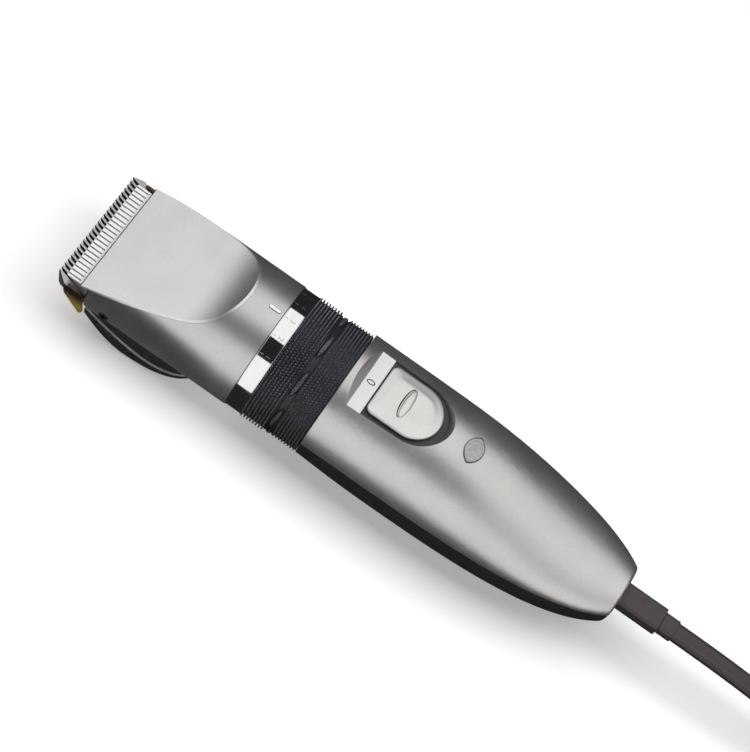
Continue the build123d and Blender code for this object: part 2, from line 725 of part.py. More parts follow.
STEM_FRONT, STEM_L = 105.6, 2.0
SWITCH_TOP = 12.4

with BuildPart() as slider_stem:
    with BuildSketch(deck(RECESS_FLOOR + 0.03)):
        span(STEM_FRONT, STEM_FRONT + STEM_L, -1.4, 1.4)
    extrude(amount=-(RECESS_FLOOR - SWITCH_TOP + 1.2))
save(slider_stem, "slider_stem")

with BuildPart() as slide_switch:
    with BuildSketch(deck(BOARD_HEIGHT + BOARD_T + 0.02)):
        span(98.4, 110.4, -3.2, 3.2)
    extrude(amount=SWITCH_TOP - BOARD_HEIGHT - BOARD_T)
    with BuildSketch(deck(SWITCH_TOP + 1)):
        span(STEM_FRONT - SWITCH_TRAVEL - 0.4, STEM_FRONT + STEM_L + 0.4, -1.8, 1.8)
    extrude(amount=-3, mode=Mode.SUBTRACT)
save(slide_switch, "slide_switch")

with BuildPart() as circuit_board:
    with BuildSketch(deck(BOARD_HEIGHT)):
        span(BOARD_FRONT, BOARD_REAR, -BOARD_HALF, BOARD_HALF)
    extrude(amount=BOARD_T)
save(circuit_board, "circuit_board")

with BuildPart() as indicator_led:
    with BuildSketch(deck(BOARD_HEIGHT + BOARD_T + 0.02)):
        with Locations((LENS_AT, 0)):
            Circle(1.5)
    extrude(amount=4.5)
    fillet(indicator_led.faces().sort_by(Axis.Z)[-1].edges(), 1.4)
save(indicator_led, "indicator_led")

with BuildPart() as battery_cell:
    with BuildSketch(across(CELL_FRONT)):
        with Locations((0, CELL_HEIGHT)):
            Circle(CELL_R)
    extrude(amount=CELL_L - 1.5)
    with BuildSketch(across(CELL_FRONT + CELL_L - 1.5)):
        with Locations((0, CELL_HEIGHT)):
            Circle(2.6)
    extrude(amount=1.5)
save(battery_cell, "battery_cell")

with BuildPart() as battery_straps:
    for distance in (CELL_FRONT - 0.32, CELL_FRONT + CELL_L + 0.02):
        with BuildSketch(across(distance)):
            span(-2.5, 2.5, CELL_HEIGHT - 2.5, BOARD_HEIGHT - 0.02)
        extrude(amount=0.3)
save(battery_straps, "battery_straps")

with BuildPart() as battery_cradle:
    for distance in (116.0, 146.0):
        with BuildSketch(across(distance)):
            span(-7.8, 7.8, -17.6, CELL_HEIGHT - 1.0)
            with Locations((0, CELL_HEIGHT)):
                Circle(CELL_R + GAP, mode=Mode.SUBTRACT)
        extrude(amount=3.0)
save(battery_cradle, "battery_cradle")

with BuildPart() as charge_socket:
    with BuildSketch(across(173.0)):
        span(-4.5, 4.5, -3.6, 3.2)
    extrude(amount=SOCKET_END - 173.0 - 0.1)
    with BuildSketch(across(SOCKET_END)):
        Circle(BARREL_BORE)
    extrude(amount=-9.0, mode=Mode.SUBTRACT)
save(charge_socket, "charge_socket")

with BuildPart() as motor_wires:
    for y in (-4.0, 4.0):
        with BuildLine():
            wire = FilletPolyline(
                (FRONT_X + MOTOR_REAR + 2.7, y, AXIS_Z - 2),
                (FRONT_X + 90.0, y, AXIS_Z - 2),
                (FRONT_X + 93.6, y, AXIS_Z + 3.6),
                (FRONT_X + 99.5, y, AXIS_Z + 6.3),
                radius=2.0,
            )
        with BuildSketch(Plane(origin=wire @ 0, z_dir=wire % 0)):
            Circle(0.6)
        sweep(path=wire)
save(motor_wires, "motor_wires")

# ---------------------------------------------------------------- charging lead

BOOT_FRONT = BODY_REAR + 0.05
BOOT_REAR = BOOT_FRONT + BOOT_L
CORD_START = BOOT_REAR + RELIEF_L
EXIT_X = FRONT_X + CORD_START

with BuildPart() as plug_barrel:
    with BuildSketch(across(BOOT_FRONT)):
        Circle(BARREL_R)
        Circle(1.1, mode=Mode.SUBTRACT)
    extrude(amount=-9.5)
save(plug_barrel, "plug_barrel")

with BuildPart() as plug_boot:
    with BuildSketch(across(BOOT_FRONT)):
        RectangleRounded(BOOT_W, BOOT_H, 1.2)
    extrude(amount=BOOT_L)
save(plug_boot, "plug_boot")

with BuildPart() as strain_relief:
    with BuildSketch(across(BOOT_REAR)):
        RectangleRounded(RELIEF_W, RELIEF_H, 1.2)
    extrude(amount=RELIEF_L)
save(strain_relief, "strain_relief")


def cord(route):
    """Flat cord along straight runs with large tangent arcs. Prints its length and its bend radii."""
    points = [Vector(*point) for point in route]
    runs = [after - before for before, after in zip(points, points[1:])]
    radii = []
    for first, second in zip(runs, runs[1:]):
        half_turn = radians(first.get_angle(second)) / 2
        radii.append(0.45 * min(first.length, second.length) / tan(half_turn))
    with BuildLine():
        path = FilletPolyline(*points, radius=radii) if len(radii) else Line(*points)
    with BuildSketch(Plane(origin=points[0], x_dir=(0, 1, 0), z_dir=path % 0)) as section:
        RectangleRounded(CORD_W, CORD_H, 1.6)
    sweep(section.sketch, path=path)
    print("cord length", round(path.length, 1), "bend radii", [round(radius) for radius in radii])


CORD_ROUTE = (
    (EXIT_X, 0, AXIS_Z),
    (136.0, 0, AXIS_Z),
    (162.0, 0, 17.0),
    (184.0, 0, 6.6),
    (203.0, 0, CORD_LIE),
    (HANK_FRONT, 0, CORD_LIE),
)
TAIL_ROUTE = (
    (HANK_REAR, 0, TAIL_EXIT),
    (HANK_REAR + 10.0, 0, TAIL_EXIT),
    (ADAPTER_FRONT - ADAPTER_RELIEF_L - 10.0, 0, ADAPTER_H / 2),
    (ADAPTER_FRONT - ADAPTER_RELIEF_L, 0, ADAPTER_H / 2),
)

with BuildPart() as cord_run:
    cord(CORD_ROUTE)
save(cord_run, "cord_run")

hank_middle = HANK_FRONT + HANK_L / 2

with BuildPart() as cord_hank:
    with BuildSketch(Plane.XY.offset(0.1)):
        with Locations((hank_middle, 0)):
            RectangleRounded(HANK_L, HANK_W, HANK_CORNER)
        with Locations((hank_middle, -WAIST_AT), (hank_middle, WAIST_AT)):
            Circle(WAIST_R, mode=Mode.SUBTRACT)
    extrude(amount=HANK_H)
    with BuildSketch(Plane.YZ.offset(hank_middle)):
        with Locations((0, HANK_H / 2 + 0.1)):
            Rectangle(HANK_W, HANK_H + 1)
            Rectangle(TIE_BORE - 0.1, HANK_H - 2 * TIE_T - 0.1, mode=Mode.SUBTRACT)
    extrude(amount=TIE_L / 2 + 0.05, both=True, mode=Mode.SUBTRACT)
save(cord_hank, "cord_hank")

with BuildPart() as hank_tie:
    with BuildSketch(Plane.YZ.offset(hank_middle)):
        with Locations((0, HANK_H / 2 + 0.1)):
            RectangleRounded(TIE_BORE + 2 * TIE_T, HANK_H, 1.0)
            Rectangle(TIE_BORE, HANK_H - 2 * TIE_T, mode=Mode.SUBTRACT)
    extrude(amount=TIE_L / 2, both=True)
save(hank_tie, "hank_tie")

with BuildPart() as cord_tail:
    cord(TAIL_ROUTE)
save(cord_tail, "cord_tail")

# ---------------------------------------------------------------- wall adapter

ADAPTER_END = ADAPTER_FRONT + ADAPTER_L
ADAPTER_WALL = 2.0
HALF_H = ADAPTER_H / 2
adapter_middle = (ADAPTER_FRONT + ADAPTER_L / 2, 0)

with BuildPart() as adapter_relief:
    with BuildSketch(Plane.YZ.offset(ADAPTER_FRONT)):
        with Locations((0, HALF_H)):
            RectangleRounded(9.0, 6.6, 1.8)
    with BuildSketch(Plane.YZ.offset(ADAPTER_FRONT - ADAPTER_RELIEF_L)):
        with Locations((0, HALF_H)):
            RectangleRounded(CORD_W + 0.8, CORD_H + 0.8, 1.8)
    loft()
save(adapter_relief, "adapter_relief")


def adapter_half(low, high):
    """One half of the adapter's case: a rounded block, hollow, cut at its middle height."""
    with BuildSketch(Plane.XY) as block:
        with Locations(adapter_middle):
            RectangleRounded(ADAPTER_L, ADAPTER_W, 4.0)
    extrude(block.sketch, amount=ADAPTER_H)
    with BuildSketch(Plane.XY.offset(ADAPTER_WALL)) as hollow:
        with Locations(adapter_middle):
            RectangleRounded(ADAPTER_L - 2 * ADAPTER_WALL, ADAPTER_W - 2 * ADAPTER_WALL, 2.0)
    extrude(hollow.sketch, amount=ADAPTER_H - 2 * ADAPTER_WALL, mode=Mode.SUBTRACT)
    with BuildSketch(Plane.XY.offset(low)) as kept:
        with Locations(adapter_middle):
            Rectangle(ADAPTER_L + 2, ADAPTER_W + 2)
    extrude(kept.sketch, amount=high - low, mode=Mode.INTERSECT)
    with BuildSketch(Plane.YZ.offset(ADAPTER_END + 1)) as pin_holes:
        with Locations((-PIN_SPACING / 2, HALF_H), (PIN_SPACING / 2, HALF_H)):
            Circle(PIN_SHANK_R + 0.03)
    extrude(pin_holes.sketch, amount=-ADAPTER_WALL - 3, mode=Mode.SUBTRACT)


with BuildPart() as adapter_base:
    adapter_half(0.0, HALF_H - GAP / 2)
    fillet(adapter_base.faces().sort_by(Axis.Z)[0].edges(), 1.5)
save(adapter_base, "adapter_base")

with BuildPart() as adapter_cover:
    adapter_half(HALF_H + GAP / 2, ADAPTER_H)
    fillet(adapter_cover.faces().sort_by(Axis.Z)[-1].edges(), 1.5)
save(adapter_cover, "adapter_cover")

with BuildPart() as adapter_transformer:
    with BuildSketch(Plane.XY.offset(ADAPTER_WALL + 0.1)):
        with Locations((ADAPTER_FRONT + 20, 0)):
            Rectangle(26, 24)
    extrude(amount=18)
save(adapter_transformer, "adapter_transformer")

with BuildPart() as adapter_pins:
    with BuildSketch(Plane.YZ.offset(ADAPTER_END + GAP)):
        with Locations((-PIN_SPACING / 2, HALF_H), (PIN_SPACING / 2, HALF_H)):
            Circle(PIN_R)
    extrude(amount=PIN_L - GAP)
    fillet(adapter_pins.faces().filter_by(Axis.X).sort_by(Axis.X)[-2:].edges(), 1.0)
    with BuildSketch(Plane.YZ.offset(ADAPTER_END + GAP)):
        with Locations((-PIN_SPACING / 2, HALF_H), (PIN_SPACING / 2, HALF_H)):
            Circle(PIN_SHANK_R)
    extrude(amount=-6)
save(adapter_pins, "adapter_pins")
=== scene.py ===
"""Looks of the electric pet clipper and its charging lead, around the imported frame.

Lengths are in metres, in the frame's own axes: X runs back along the handle, Z is up through the
switch and Y runs across. Sizes written in millimetres are multiplied by MM.
"""

import json
import math

import bmesh
import bpy
from mathutils import Matrix, Vector

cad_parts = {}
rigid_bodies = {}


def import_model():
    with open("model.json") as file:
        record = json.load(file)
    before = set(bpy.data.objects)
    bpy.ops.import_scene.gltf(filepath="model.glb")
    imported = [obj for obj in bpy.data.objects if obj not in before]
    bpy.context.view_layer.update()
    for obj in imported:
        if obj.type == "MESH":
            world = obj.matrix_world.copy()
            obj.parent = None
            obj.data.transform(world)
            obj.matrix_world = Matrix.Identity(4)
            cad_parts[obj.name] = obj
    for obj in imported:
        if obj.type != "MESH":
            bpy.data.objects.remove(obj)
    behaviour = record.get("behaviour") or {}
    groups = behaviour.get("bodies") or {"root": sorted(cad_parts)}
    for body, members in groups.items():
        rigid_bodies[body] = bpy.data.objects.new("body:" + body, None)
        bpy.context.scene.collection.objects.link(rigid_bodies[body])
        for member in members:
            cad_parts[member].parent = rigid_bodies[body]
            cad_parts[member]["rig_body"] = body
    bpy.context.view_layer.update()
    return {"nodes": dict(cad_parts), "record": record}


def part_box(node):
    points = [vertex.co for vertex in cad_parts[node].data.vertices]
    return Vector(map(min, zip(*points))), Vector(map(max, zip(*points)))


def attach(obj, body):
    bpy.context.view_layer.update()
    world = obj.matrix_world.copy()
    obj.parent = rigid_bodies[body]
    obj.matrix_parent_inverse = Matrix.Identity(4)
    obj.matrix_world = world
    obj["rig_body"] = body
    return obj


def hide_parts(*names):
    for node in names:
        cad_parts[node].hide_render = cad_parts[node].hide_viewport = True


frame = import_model()
nodes = frame["nodes"]

MM = 0.001
# The sizes of the grip, the band, the switch, the lens and the marks are in millimetres. Places
# along the handle are counted back from a plane just ahead of the blade tips.
ROOT_R = 19.45  # radius of the grip between its ribs
BAND_AT = 60.45  # place of the ring's front edge
FRONT_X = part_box("scale_band")[0].x - BAND_AT * MM
AXIS_Z = (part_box("grip_sleeve")[0].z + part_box("grip_sleeve")[1].z) / 2


def back(distance):
    """X of a place this many millimetres behind the plane just ahead of the blade tips."""
    return FRONT_X + distance * MM


# ---------------------------------------------------------------- camera

TURN = math.radians(35)  # how far the handle is turned in the picture
ELEVATION = math.radians(60)
MIDDLE = Vector((-0.0016, 0.0093, 0.0279))
CAMERA_DISTANCE = 0.8
FIELD = 0.2137  # width of the picture at the handle
NEAR_CLIP, FAR_CLIP = 0.01, 20.0


def add_camera():
    """Looks at the handle from its front and above, turned so that it lies across the picture."""
    towards = Vector((0, -math.cos(ELEVATION), math.sin(ELEVATION)))
    across = Vector((0, math.sin(ELEVATION), math.cos(ELEVATION)))
    along = Vector((1, 0, 0))
    right = along * math.cos(TURN) + across * math.sin(TURN)
    up = across * math.cos(TURN) - along * math.sin(TURN)
    data = bpy.data.cameras.new("camera")
    data.lens = data.sensor_width * CAMERA_DISTANCE / FIELD
    data.clip_start, data.clip_end = NEAR_CLIP, FAR_CLIP
    camera = bpy.data.objects.new("camera", data)
    pose = Matrix((right, up, towards)).transposed().to_4x4()
    pose.translation = MIDDLE + towards * CAMERA_DISTANCE
    camera.matrix_world = pose
    bpy.context.scene.collection.objects.link(camera)
    bpy.context.scene.camera = camera


add_camera()

# ---------------------------------------------------------------- charging lead

CORD_W, CORD_H = 5.8 * MM, 3.4 * MM
EXIT = (0.1099, 0.0, 0.0225)
LEAD = (
    EXIT,
    (0.136, 0.0, 0.0225),
    (0.162, 0.0, 0.017),
    (0.184, 0.0, 0.0066),
    (0.203, 0.0, 0.0018),
    (0.222, 0.0, 0.0018),
    (0.238, -0.0012, 0.0018),
    (0.252, -0.0066, 0.0018),
)
TAIL = (
    (0.292, -0.0066, 0.0193),
    (0.306, -0.0012, 0.0193),
    (0.322, 0.0, 0.0193),
    (0.334, 0.0, 0.0140),
    (0.343, 0.0, 0.0125),
    (0.353, 0.0, 0.0125),
)
HANK_MIDDLE = Vector((0.272, 0.0, 0.0018))
HANK_REACH, HANK_HALF, HANK_WAIST = 0.047, 0.0181, 0.008  # half length, width and waist
SIDE_END, WAIST_END = 0.0202, 0.0085  # X of a side's control points, from the hank's middle
HANK_STAGGER = 0.0005  # every other turn is shorter by this at each end
HANK_TURNS = 5
LAYER = 0.0035  # height of one turn
FOLD_POINTS, FOLD_STEP = 6, math.radians(30)
CLIMB_FROM, CLIMB_STEPS = 10, 4  # control points over which a turn climbs to the next layer
LAST_POINTS = 3  # of the near side, on top of the last turn
EDGE_POWER = 0.62  # how square the cord's edges are: 1 is round
GROOVE_DEPTH, GROOVE_HALF = 0.17, 0.29  # of the cord's faces, over its half height
SECTION_POINTS = 32


def hank_turn(reach):
    """Control points of one turn, from the near side's low X end round to where it begins."""
    wide = HANK_HALF / math.cos(FOLD_STEP / 2)
    angles = [FOLD_STEP * (step - (FOLD_POINTS - 1) / 2) for step in range(FOLD_POINTS)]
    fold = [(reach - HANK_HALF + wide * math.cos(a), wide * math.sin(a)) for a in angles]
    near = [(-SIDE_END, -HANK_HALF), (-WAIST_END, -HANK_WAIST),
            (WAIST_END, -HANK_WAIST), (SIDE_END, -HANK_HALF)]
    half = near + fold
    return half + [(-x, -y) for x, y in half]


def hank_points():
    """All turns of the hank, which climb by a layer at the low X fold, and the last near side."""
    points = []
    for turn in range(HANK_TURNS):
        for step, (x, y) in enumerate(hank_turn(HANK_REACH - HANK_STAGGER * (turn % 2))):
            rise = turn + min(max((step - CLIMB_FROM) / CLIMB_STEPS, 0), 1)
            points.append(HANK_MIDDLE + Vector((x, y, LAYER * rise)))
    for x, y in hank_turn(HANK_REACH)[:LAST_POINTS]:
        points.append(HANK_MIDDLE + Vector((x, y, LAYER * HANK_TURNS)))
    return points[1:]


def squared(share):
    """Moves a cosine or a sine outwards, which squares the corners of the circle that it draws."""
    return math.copysign(abs(share) ** EDGE_POWER, share)


def flat_section():
    """The cord's section over its half height: flat, with round edges and a groove in each face."""
    curve = bpy.data.curves.new("cord_section", "CURVE")
    curve.dimensions = "2D"
    spline = curve.splines.new("POLY")
    spline.points.add(SECTION_POINTS - 1)
    for index in range(SECTION_POINTS):
        angle = 2 * math.pi * index / SECTION_POINTS
        x = squared(math.cos(angle)) * CORD_W / CORD_H
        y = squared(math.sin(angle))
        groove = GROOVE_DEPTH * math.exp(-((x / GROOVE_HALF) ** 2))
        y -= math.copysign(groove, y)
        spline.points[index].co = (x, y, 0, 1)
    spline.use_cyclic_u = True
    section = bpy.data.objects.new("cord_section", curve)
    bpy.context.scene.collection.objects.link(section)
    section.hide_render = True
    section.hide_viewport = True
    return section


def add_cord():
    """The whole lead from the plug through the hank to the adapter, as one flat swept curve."""
    points = [Vector(p) for p in LEAD] + hank_points() + [Vector(p) for p in TAIL]
    curve = bpy.data.curves.new("charging_cord", "CURVE")
    curve.dimensions = "3D"
    curve.twist_mode = "Z_UP"
    curve.bevel_mode = "OBJECT"
    curve.bevel_object = flat_section()
    curve.use_fill_caps = True
    spline = curve.splines.new("NURBS")
    spline.points.add(len(points) - 1)
    for control, place in zip(spline.points, points):
        control.co = (*place, 1)
        control.radius = CORD_H / 2
    spline.order_u = 3
    spline.use_endpoint_u = True
    spline.resolution_u = 8
    cord = bpy.data.objects.new("charging_cord", curve)
    bpy.context.scene.collection.objects.link(cord)
    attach(cord, "charging_lead")
    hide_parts("cord_run", "cord_hank", "cord_tail")
    return cord


cord = add_cord()

# ---------------------------------------------------------------- floor and light

FLOOR_REACH, FLOOR_DROP = 3.0, 0.0002
FLOOR_COLOR, FLOOR_GLOW = (0.82, 0.82, 0.82), 0.37
WORLD_COLOR = (0.018, 0.018, 0.02, 1)
LIGHT_DISTANCE = 0.6  # of every softbox from the handle's axis
# name, lowest and highest angle from straight up towards the front, both ends along X, radiance
REFLECTED = (
    ("over", -50, 12, -1.4, 1.4, 1.02),
    ("front", 49, 112, -1.4, 1.4, 1.02),
    ("tail", 12, 49, 0.2, 1.6, 0.75),
)
KEY = ("key", -24, 14, -0.5, 0.6, 3.5)


def add_stage():
    """A pale floor, and long softboxes: some are seen only in reflections, with a dark gap between
    them, and the one overhead lights only what scatters light."""
    mesh = bpy.data.meshes.new("floor")
    square = ((-1, -1), (1, -1), (1, 1), (-1, 1))
    corners = [(x * FLOOR_REACH, y * FLOOR_REACH, 0) for x, y in square]
    mesh.from_pydata(corners, [], [(0, 1, 2, 3)])
    floor = bpy.data.objects.new("floor", mesh)
    bpy.context.scene.collection.objects.link(floor)
    floor.location.z = -FLOOR_DROP
    floor.visible_glossy = False
    floor.visible_shadow = False
    glow = {"Emission Color": (1, 1, 1, 1), "Emission Strength": FLOOR_GLOW}
    mesh.materials.append(Finish("floor", FLOOR_COLOR, 0.9, glow).material)
    for softbox in REFLECTED:
        add_softbox(*softbox).visible_diffuse = False
    add_softbox(*KEY).visible_glossy = False
    world = bpy.data.worlds.new("studio")
    world.use_nodes = True
    world.node_tree.nodes["Background"].inputs["Color"].default_value = WORLD_COLOR
    bpy.context.scene.world = world
    bpy.context.scene.view_settings.view_transform = "Standard"


def add_softbox(name, low, high, left, right, radiance):
    """A long light beside the handle, which covers these angles and this stretch of X."""
    middle, half = math.radians((low + high) / 2), math.radians((high - low) / 2)
    data = bpy.data.lights.new(name, "AREA")
    data.shape = "RECTANGLE"
    data.size, data.size_y = right - left, 2 * LIGHT_DISTANCE * math.tan(half)
    data.energy = radiance * math.pi * data.size * data.size_y
    light = bpy.data.objects.new(name, data)
    outward = Vector((0, -math.sin(middle), math.cos(middle)))
    side = Vector((1, 0, 0))
    pose = Matrix((side, outward.cross(side), outward)).transposed().to_4x4()
    pose.translation = Vector(((left + right) / 2, 0, AXIS_Z)) + outward * LIGHT_DISTANCE
    light.matrix_world = pose
    bpy.context.scene.collection.objects.link(light)
    return light


# ---------------------------------------------------------------- materials


class Finish:
    """A principled material that takes its procedural detail one layer at a time."""

    def __init__(self, name, color, roughness, sockets=None):
        self.material = bpy.data.materials.new(name)
        self.material.use_nodes = True
        self.tree = self.material.node_tree
        self.shader = self.tree.nodes["Principled BSDF"]
        self.shader.inputs["Base Color"].default_value = (*color, 1)
        self.shader.inputs["Roughness"].default_value = roughness
        for socket, value in (sockets or {}).items():
            self.shader.inputs[socket].default_value = value
        self.place = self.tree.nodes.new("ShaderNodeTexCoord").outputs["Object"]

    def link(self, output, socket):
        self.tree.links.new(output, socket)

    def stretched(self, stretch):
        mapping = self.tree.nodes.new("ShaderNodeMapping")
        mapping.inputs["Scale"].default_value = stretch
        self.link(self.place, mapping.inputs["Vector"])
        return mapping.outputs["Vector"]

    def noise(self, grain, stretch=(1, 1, 1), octaves=3.0):
        """Cloudy pattern whose patches are about this many millimetres across."""
        node = self.tree.nodes.new("ShaderNodeTexNoise")
        node.inputs["Scale"].default_value = 1 / (grain * MM)
        node.inputs["Detail"].default_value = octaves
        self.link(self.stretched(stretch), node.inputs["Vector"])
        return node.outputs["Fac"]

    def flakes(self, grain):
        """Random value for each cell of this many millimetres."""
        node = self.tree.nodes.new("ShaderNodeTexVoronoi")
        node.inputs["Scale"].default_value = 1 / (grain * MM)
        self.link(self.place, node.inputs["Vector"])
        split = self.tree.nodes.new("ShaderNodeSeparateColor")
        self.link(node.outputs["Color"], split.inputs["Color"])
        return split.outputs["Red"]

    def radius(self):
        """Distance from the handle's axis, in metres."""
        centred = self.tree.nodes.new("ShaderNodeVectorMath")
        centred.operation = "MULTIPLY_ADD"
        centred.inputs[1].default_value = (0, 1, 1)
        centred.inputs[2].default_value = (0, 0, -AXIS_Z)
        self.link(self.place, centred.inputs[0])
        length = self.tree.nodes.new("ShaderNodeVectorMath")
        length.operation = "LENGTH"
        self.link(centred.outputs["Vector"], length.inputs[0])
        return length.outputs["Value"]

    def along(self, axis):
        """The place's X, Y or Z, in metres."""
        split = self.tree.nodes.new("ShaderNodeSeparateXYZ")
        self.link(self.place, split.inputs["Vector"])
        return split.outputs[axis]

    def ranged(self, pattern, low, high, start=0.3, end=0.7):
        """The pattern's values from start to end, spread over low to high."""
        node = self.tree.nodes.new("ShaderNodeMapRange")
        limits = {"From Min": start, "From Max": end, "To Min": low, "To Max": high}
        for socket, value in limits.items():
            node.inputs[socket].default_value = value
        self.link(pattern, node.inputs["Value"])
        return node.outputs["Result"]

    def rough(self, pattern, low, high):
        """Lets the roughness follow the pattern between these values."""
        self.link(self.ranged(pattern, low, high), self.shader.inputs["Roughness"])
        return self

    def tint(self, pattern, other, start=0.3, end=0.7):
        """Blends the colour so far towards another where the pattern is high."""
        mix = self.tree.nodes.new("ShaderNodeMix")
        mix.data_type = "RGBA"
        base = self.shader.inputs["Base Color"]
        if base.is_linked:
            self.link(base.links[0].from_socket, mix.inputs["A"])
        else:
            mix.inputs["A"].default_value = base.default_value
        mix.inputs["B"].default_value = (*other, 1)
        self.link(self.ranged(pattern, 0, 1, start, end), mix.inputs["Factor"])
        self.link(mix.outputs["Result"], base)
        return self

    def arithmetic(self, operation, first, second):
        """One arithmetic step, whose inputs are outputs of other nodes or plain numbers."""
        node = self.tree.nodes.new("ShaderNodeMath")
        node.operation = operation
        for socket, value in zip(node.inputs, (first, second)):
            if isinstance(value, (int, float)):
                socket.default_value = value
            else:
                self.link(value, socket)
        return node.outputs["Value"]

    def steepen(self, slope, below, front, rear):
        """Tilts the lower sides downwards under this height over the axis, most at the front."""
        share = self.ranged(self.along("X"), slope, 0, back(front), back(rear))
        depth = self.arithmetic("SUBTRACT", AXIS_Z + below * MM, self.along("Z"))
        depth = self.arithmetic("MAXIMUM", depth, 0)
        square = self.arithmetic("MULTIPLY", depth, depth)
        sagitta = self.arithmetic("MULTIPLY", square, -0.5 / (below * MM * MM))
        return self.bump(self.arithmetic("MULTIPLY", sagitta, share), 1.0)

    def bump(self, pattern, height):
        """Relief of this many millimetres over whatever relief is there already."""
        node = self.tree.nodes.new("ShaderNodeBump")
        node.inputs["Distance"].default_value = height * MM
        node.inputs["Strength"].default_value = 1.0
        self.link(pattern, node.inputs["Height"])
        normal = self.shader.inputs["Normal"]
        if normal.is_linked:
            self.link(normal.links[0].from_socket, node.inputs["Normal"])
        self.link(node.outputs["Normal"], normal)
        return self


def shade(color, factor):
    """A lighter or darker copy of a colour."""
    return [min(1.0, c * factor) for c in color]


def paint(name, color, roughness, metallic=0.92):
    """Silver paint: fine flakes under a thin clear coat, and a slow change in gloss."""
    made = Finish(name, color, roughness,
                  {"Metallic": metallic, "Coat Weight": 0.12, "Coat Roughness": 0.25})
    flakes = made.flakes(0.16)
    made.tint(flakes, shade(color, 1.18), 0.55, 1.0)
    made.tint(made.noise(14), shade(color, 0.98))
    made.rough(made.noise(9), roughness - 0.02, roughness + 0.025)
    made.bump(flakes, 0.0016)
    return made


def plastic(name, color, roughness, grain=0.35, relief=0.006):
    """Moulded plastic or rubber: fine texture, and a slight change of colour and gloss."""
    made = Finish(name, color, roughness, {"Specular IOR Level": 0.45})
    made.tint(made.noise(7), shade(color, 1.25))
    made.rough(made.noise(2.2), roughness - 0.05, roughness + 0.07)
    made.bump(made.noise(grain, octaves=2), relief)
    return made


def rubber_with_painted_crest_light(name, color, painted_crest_light):
    """Rubber with a painted highlight on its ribs' crests, broken into small flecks, and its own
    dark colour between them.
    """
    made = plastic(name, color, 0.4, 0.25, 0.008)
    # painted highlight: the colour turns lighter towards the crests' tops, by distance from the
    # axis
    made.tint(made.radius(), painted_crest_light, (ROOT_R + 0.15) * MM, (ROOT_R + 0.75) * MM)
    # the painted highlight is cut back to the rubber's own colour in small flecks
    made.tint(made.noise(0.42, (0.6, 1, 1), 1), color, 0.5, 0.62)
    return made


def metal(name, color, roughness, stretch=(0.06, 1, 1)):
    """Brushed or turned metal: fine scratches in one direction, and a slow change of tone."""
    made = Finish(name, color, roughness, {"Metallic": 1.0})
    scratches = made.noise(0.12, stretch, 4)
    made.tint(scratches, shade(color, 0.82))
    made.tint(made.noise(5), shade(color, 0.9))
    made.rough(scratches, roughness - 0.07, roughness + 0.09)
    made.bump(scratches, 0.0015)
    return made


def plated(name, color, painted_top_shade):
    """Gold plating that is half reflecting, with painted shade that darkens it along its top."""
    made = metal(name, color, 0.3)
    made.shader.inputs["Metallic"].default_value = 0.45
    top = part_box("blade_holder")[1].z
    # painted shade: the colour darkens towards the top
    made.tint(made.along("Z"), painted_top_shade, top - 6.5 * MM, top - 2.6 * MM)
    return made


def ceramic(name, color):
    """Sintered ceramic with a fine grain."""
    made = Finish(name, color, 0.42, {"Specular IOR Level": 0.5})
    made.tint(made.noise(1.6), shade(color, 0.93))
    made.rough(made.noise(0.6), 0.36, 0.5)
    made.bump(made.noise(0.08, octaves=2), 0.0015)
    return made


def smoked_lens(name, color):
    """Cloudy grey lens under a thin clear coat."""
    made = Finish(name, color, 0.28, {"Coat Weight": 0.4, "Coat Roughness": 0.1})
    made.tint(made.noise(1.1), shade(color, 1.35))
    made.rough(made.noise(0.8), 0.24, 0.36)
    made.bump(made.noise(0.5, octaves=2), 0.01)
    return made


def winding(name, color):
    """Enamelled wire laid round the core."""
    made = Finish(name, color, 0.35, {"Metallic": 0.8})
    turns = made.noise(0.25, (1, 0.05, 0.05), 1)
    made.tint(turns, shade(color, 0.6))
    made.rough(turns, 0.28, 0.45)
    made.bump(turns, 0.05)
    return made


def board(name, color):
    """Solder mask with copper tracks under it and small tinned pads."""
    made = Finish(name, color, 0.35, {"Specular IOR Level": 0.6})
    tracks = made.noise(1.4, (1, 3, 1), 1)
    made.tint(tracks, shade(color, 1.6), 0.52, 0.54)
    made.tint(made.flakes(2.2), (0.62, 0.6, 0.55), 0.93, 0.94)
    made.rough(tracks, 0.3, 0.42)
    made.bump(tracks, 0.03)
    return made


def chrome(name, color):
    """Bright plating with faint wipe marks."""
    made = Finish(name, color, 0.06, {"Metallic": 1.0})
    wipes = made.noise(3, (1, 0.3, 0.3), 3)
    made.tint(wipes, shade(color, 0.94))
    made.rough(wipes, 0.035, 0.11)
    made.bump(made.noise(1.5), 0.0008)
    return made


